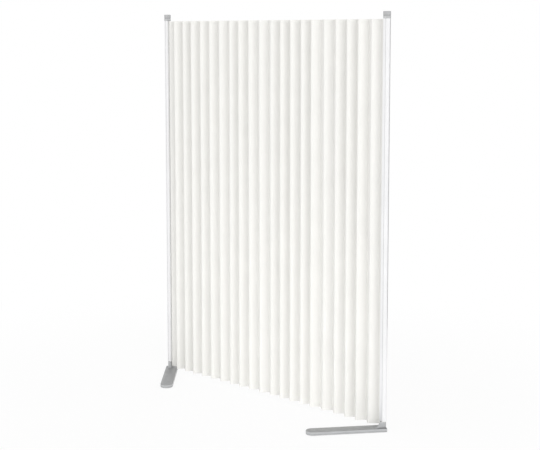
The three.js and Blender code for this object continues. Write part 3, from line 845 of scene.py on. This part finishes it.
class SCREEN_OT_foot_covers(bpy.types.Operator):
    """Make the moulded foot covers, each with its ramp and neck"""
    bl_idname = "screen.foot_covers"
    bl_label = "Foot covers"

    def execute(self, context):
        foot = context.scene.screen_foot
        # The foot covers get a strong painted edge highlight, painted light on their sides and painted shade over a
        # wider reach.
        finish = moulded_finish("silver_grey_foot_moulding", foot.colour, roughness=0.4, grain_size=0.0005,
                                relief=0.00004, metallic=0.25, painted_edge_highlight=1.9, painted_side_light=1.3, painted_shade_reach=0.012)
        top = COVER_LOW + foot.cover_height
        hole = circle((0, 0), foot.neck_bore, HOLE_POINTS)
        for end in ENDS:
            name = f"{end}_foot_moulding"
            piece = add_object(name, stacked_mesh(name, rounded_sections(
                lambda inset: foot_outline(SIDES[end], inset), COVER_LOW, top,
                foot.seam_edge, foot.cover_edge, steps=6)))
            combine(piece, "UNION", "neck", neck_sections())
            combine(piece, "DIFFERENCE", "bore", [(hole, COVER_LOW - CUT_SPARE), (hole, BUSH_LOW + CUT_SPARE)])
            place_at_end(piece.data, end, foot_turn(end))
            dress(piece.data, finish, sharpest=34)
            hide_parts(f"{end}_foot_cover")
            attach(piece, f"{end}_foot")
        return {"FINISHED"}


class SCREEN_OT_foot_plates(bpy.types.Operator):
    """Make the steel plates and finish the stems, screws, bushes and pads"""
    bl_idname = "screen.foot_plates"
    bl_label = "Foot plates and fittings"

    def execute(self, context):
        foot = context.scene.screen_foot
        steel = steel_finish()
        rubber = moulded_finish("black_rubber", RUBBER_COLOUR, roughness=0.8, grain_size=0.0004, relief=0.00008)
        nylon = moulded_finish("natural_bush_plastic", BUSH_COLOUR, roughness=0.45, grain_size=0.0008, relief=0.00003)
        seat = [(circle((0, 0), radius, HOLE_POINTS), height) for radius, height in (
            (HEAD_RADIUS, PLATE_LOW - CUT_SPARE), (HEAD_RADIUS, PLATE_LOW + CONE_LOW),
            (SHANK_RADIUS, PLATE_LOW + CONE_TOP), (SHANK_RADIUS, PLATE_TOP + CUT_SPARE))]
        for end in ENDS:
            name = f"{end}_foot_plate_steel"
            piece = add_object(name, stacked_mesh(name, rounded_sections(
                lambda inset: foot_outline(SIDES[end], foot.plate_inset + inset),
                PLATE_LOW, PLATE_TOP, SOFT_EDGE, SOFT_EDGE, steps=3)))
            combine(piece, "DIFFERENCE", "seat", seat)
            place_at_end(piece.data, end, foot_turn(end))
            dress(piece.data, steel, sharpest=34)
            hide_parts(f"{end}_foot_plate")
            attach(piece, f"{end}_foot")
            for kept, finish in (("foot_stem", steel), ("foot_screw", steel), ("swivel_bush", nylon),
                                 ("heel_pad", rubber), ("tip_pad", rubber)):
                dress(frame["nodes"][f"{end}_{kept}"].data, finish, sharpest=30)
        return {"FINISHED"}


# Stage

WHITE = (1, 1, 1, 1)
# Each lamp's side, its place from what it points at, that target, and its spread in degrees
LAMPS = {
    "key": (4.4, (7.4, -3.0, 1.5), CENTRE, 180),
    "fill": (3.2, (-1.0, -4.6, 0.5), CENTRE, 180),
    "back": (3.2, (-3.5, 5.5, 0.5), CENTRE, 180),
    "low": (0.8, (1.5, -2.1, 0.25), FLOOR_CENTRE, 50),
}
# Distances from the screen's middle between which the floor passes to white, and the shares of white there
FLOOR_FADE = (0.75, 2.6, 0.9, 1.0)
CARD_COLOUR = (0.03, 0.03, 0.035)
CARD_BEHIND = 1.7
CARD_TURN = math.radians(-5)
SENSOR_WIDTH = 36
CAMERA_SHIFT = (-0.0056, -0.1)
CAMERA_RANGE = (0.1, 100)


class SCREEN_OT_stage(bpy.types.Operator):
    """Make the floor, the even studio light, the lamps and the camera"""
    bl_idname = "screen.stage"
    bl_label = "Stage"

    def execute(self, context):
        stage = context.scene.screen_stage
        half = stage.floor_size / 2
        corners = [(-half, -half, 0), (half, -half, 0), (half, half, 0), (-half, half, 0)]
        floor = add_object("studio_floor", new_mesh("studio_floor", corners, [(0, 1, 2, 3)]))
        floor.data.materials.append(self.floor_finish(stage))
        self.light_world(context.scene, stage)
        for name, (size, place, target, spread) in LAMPS.items():
            self.add_lamp(f"{name}_lamp", getattr(stage, f"{name}_power"), size, Vector(place), target, spread)
        self.add_dark_card(stage)
        self.add_camera(context.scene, stage)
        return {"FINISHED"}

    def floor_finish(self, stage):
        """Pale floor that the camera sees as white, with a part of its real shading left in it."""
        material = bpy.data.materials.new("pale_floor")
        material.use_nodes = True
        material.node_tree.nodes.clear()
        matt = add_node(material, "ShaderNodeBsdfDiffuse", Color=(*stage.floor_colour, 1))
        white = add_node(material, "ShaderNodeEmission")
        place = add_node(material, "ShaderNodeTexCoord").outputs["Object"]
        away = add_node(material, "ShaderNodeVectorMath", [(0, place)], operation="DISTANCE")
        away.inputs[1].default_value = FLOOR_CENTRE
        share = remapped(material, away.outputs["Value"], *FLOOR_FADE, interpolation_type="SMOOTHSTEP")
        part = add_node(material, "ShaderNodeMath", [(0, self.seen_directly(material)), (1, share)],
                        operation="MULTIPLY")
        self.end_in_mix(material, part.outputs[0], matt, white, "ShaderNodeOutputMaterial")
        return material

    def seen_directly(self, owner):
        """1 for what the camera sees straight, in a gloss or through glass, and 0 for lighting."""
        path = add_node(owner, "ShaderNodeLightPath")
        total = path.outputs["Is Camera Ray"]
        for name in ("Is Glossy Ray", "Is Transmission Ray"):
            total = add_node(owner, "ShaderNodeMath", [(0, total), (1, path.outputs[name])],
                             operation="ADD", use_clamp=True).outputs[0]
        return total

    def end_in_mix(self, owner, share, lighting, seen, output):
        """Ends a material or world in a mix of what lights the scene and what is seen."""
        mix = add_node(owner, "ShaderNodeMixShader",
                       [("Fac", share), (1, lighting.outputs[0]), (2, seen.outputs[0])])
        add_node(owner, output, [("Surface", mix.outputs[0])])

    def light_world(self, scene, stage):
        world = bpy.data.worlds.new("studio")
        scene.world = world
        world.use_nodes = True
        world.node_tree.nodes.clear()
        even = add_node(world, "ShaderNodeBackground", Color=WHITE, Strength=stage.ambient)
        white = add_node(world, "ShaderNodeBackground", Color=WHITE)
        self.end_in_mix(world, self.seen_directly(world), even, white, "ShaderNodeOutputWorld")

    def add_lamp(self, name, power, size, place, target, spread):
        lamp = bpy.data.lights.new(name, "AREA")
        lamp.energy, lamp.shape, lamp.size, lamp.spread = power, "SQUARE", size, math.radians(spread)
        holder = add_object(name, lamp)
        holder.visible_camera = holder.visible_glossy = False
        holder.location = target + place
        holder.rotation_euler = (-place).to_track_quat("-Z", "Y").to_euler()

    def add_dark_card(self, stage):
        """Dark card behind the screen that only glosses show, as it draws the far edge of each post."""
        size, half = stage.card_size, stage.card_size / 2
        corners = [(-half, 0, 0), (half, 0, 0), (half, 0, size), (-half, 0, size)]
        card = add_object("dark_card", new_mesh("dark_card", corners, [(0, 1, 2, 3)]))
        card.data.materials.append(start_finish("dark_card_paint", CARD_COLOUR, roughness=0.9)[0])
        card.location = SWIVELS["right"].to_2d().to_3d() + Vector((0, CARD_BEHIND, 0))
        card.rotation_euler = (0, 0, CARD_TURN)
        card.visible_camera = card.visible_diffuse = card.visible_shadow = False

    def add_camera(self, scene, stage):
        camera = bpy.data.cameras.new("camera")
        camera.lens, camera.sensor_width = stage.camera_lens, SENSOR_WIDTH
        camera.shift_x, camera.shift_y = CAMERA_SHIFT
        camera.dof.use_dof = False
        camera.clip_start, camera.clip_end = CAMERA_RANGE
        holder = add_object("camera", camera)
        holder.location = stage.camera_place
        holder.rotation_euler = (math.pi / 2 - stage.camera_tilt, 0, stage.camera_yaw)
        scene.camera = holder
        scene.view_settings.view_transform = "Standard"


class SCREEN_PT_panel(bpy.types.Panel):
    bl_idname = "SCREEN_PT_panel"
    bl_label = "Partition screen"
    bl_space_type = "VIEW_3D"
    bl_region_type = "UI"
    bl_category = "Screen"

    def draw(self, context):
        for group, operators in PANEL_ROWS:
            box = self.layout.box()
            settings = getattr(context.scene, group)
            for name in settings.__class__.__annotations__:
                box.prop(settings, name)
            for operator in operators:
                box.operator(operator.bl_idname)


SETTINGS = {
    "screen_cloth": ClothSettings,
    "screen_post": PostSettings,
    "screen_foot": FootSettings,
    "screen_stage": StageSettings,
}
PANEL_ROWS = (
    ("screen_cloth", (SCREEN_OT_cloth,)),
    ("screen_post", (SCREEN_OT_posts, SCREEN_OT_caps)),
    ("screen_foot", (SCREEN_OT_foot_covers, SCREEN_OT_foot_plates)),
    ("screen_stage", (SCREEN_OT_stage,)),
)
OPERATORS = tuple(operator for _, operators in PANEL_ROWS for operator in operators)


def register():
    for name, group in SETTINGS.items():
        bpy.utils.register_class(group)
        setattr(bpy.types.Scene, name, PointerProperty(type=group))
    for kind in (*OPERATORS, SCREEN_PT_panel):
        bpy.utils.register_class(kind)


def unregister():
    for kind in (SCREEN_PT_panel, *reversed(OPERATORS)):
        bpy.utils.unregister_class(kind)
    for name, group in SETTINGS.items():
        delattr(bpy.types.Scene, name)
        bpy.utils.unregister_class(group)


def main():
    register()
    for start in (bpy.data.objects.get(name) for name in ("Cube", "Light", "Camera")):
        if start:
            bpy.data.objects.remove(start)
    bpy.ops.screen.cloth()
    bpy.ops.screen.posts()
    bpy.ops.screen.caps()
    bpy.ops.screen.foot_covers()
    bpy.ops.screen.foot_plates()
    bpy.ops.screen.stage()


if __name__ == "__main__":
    main()
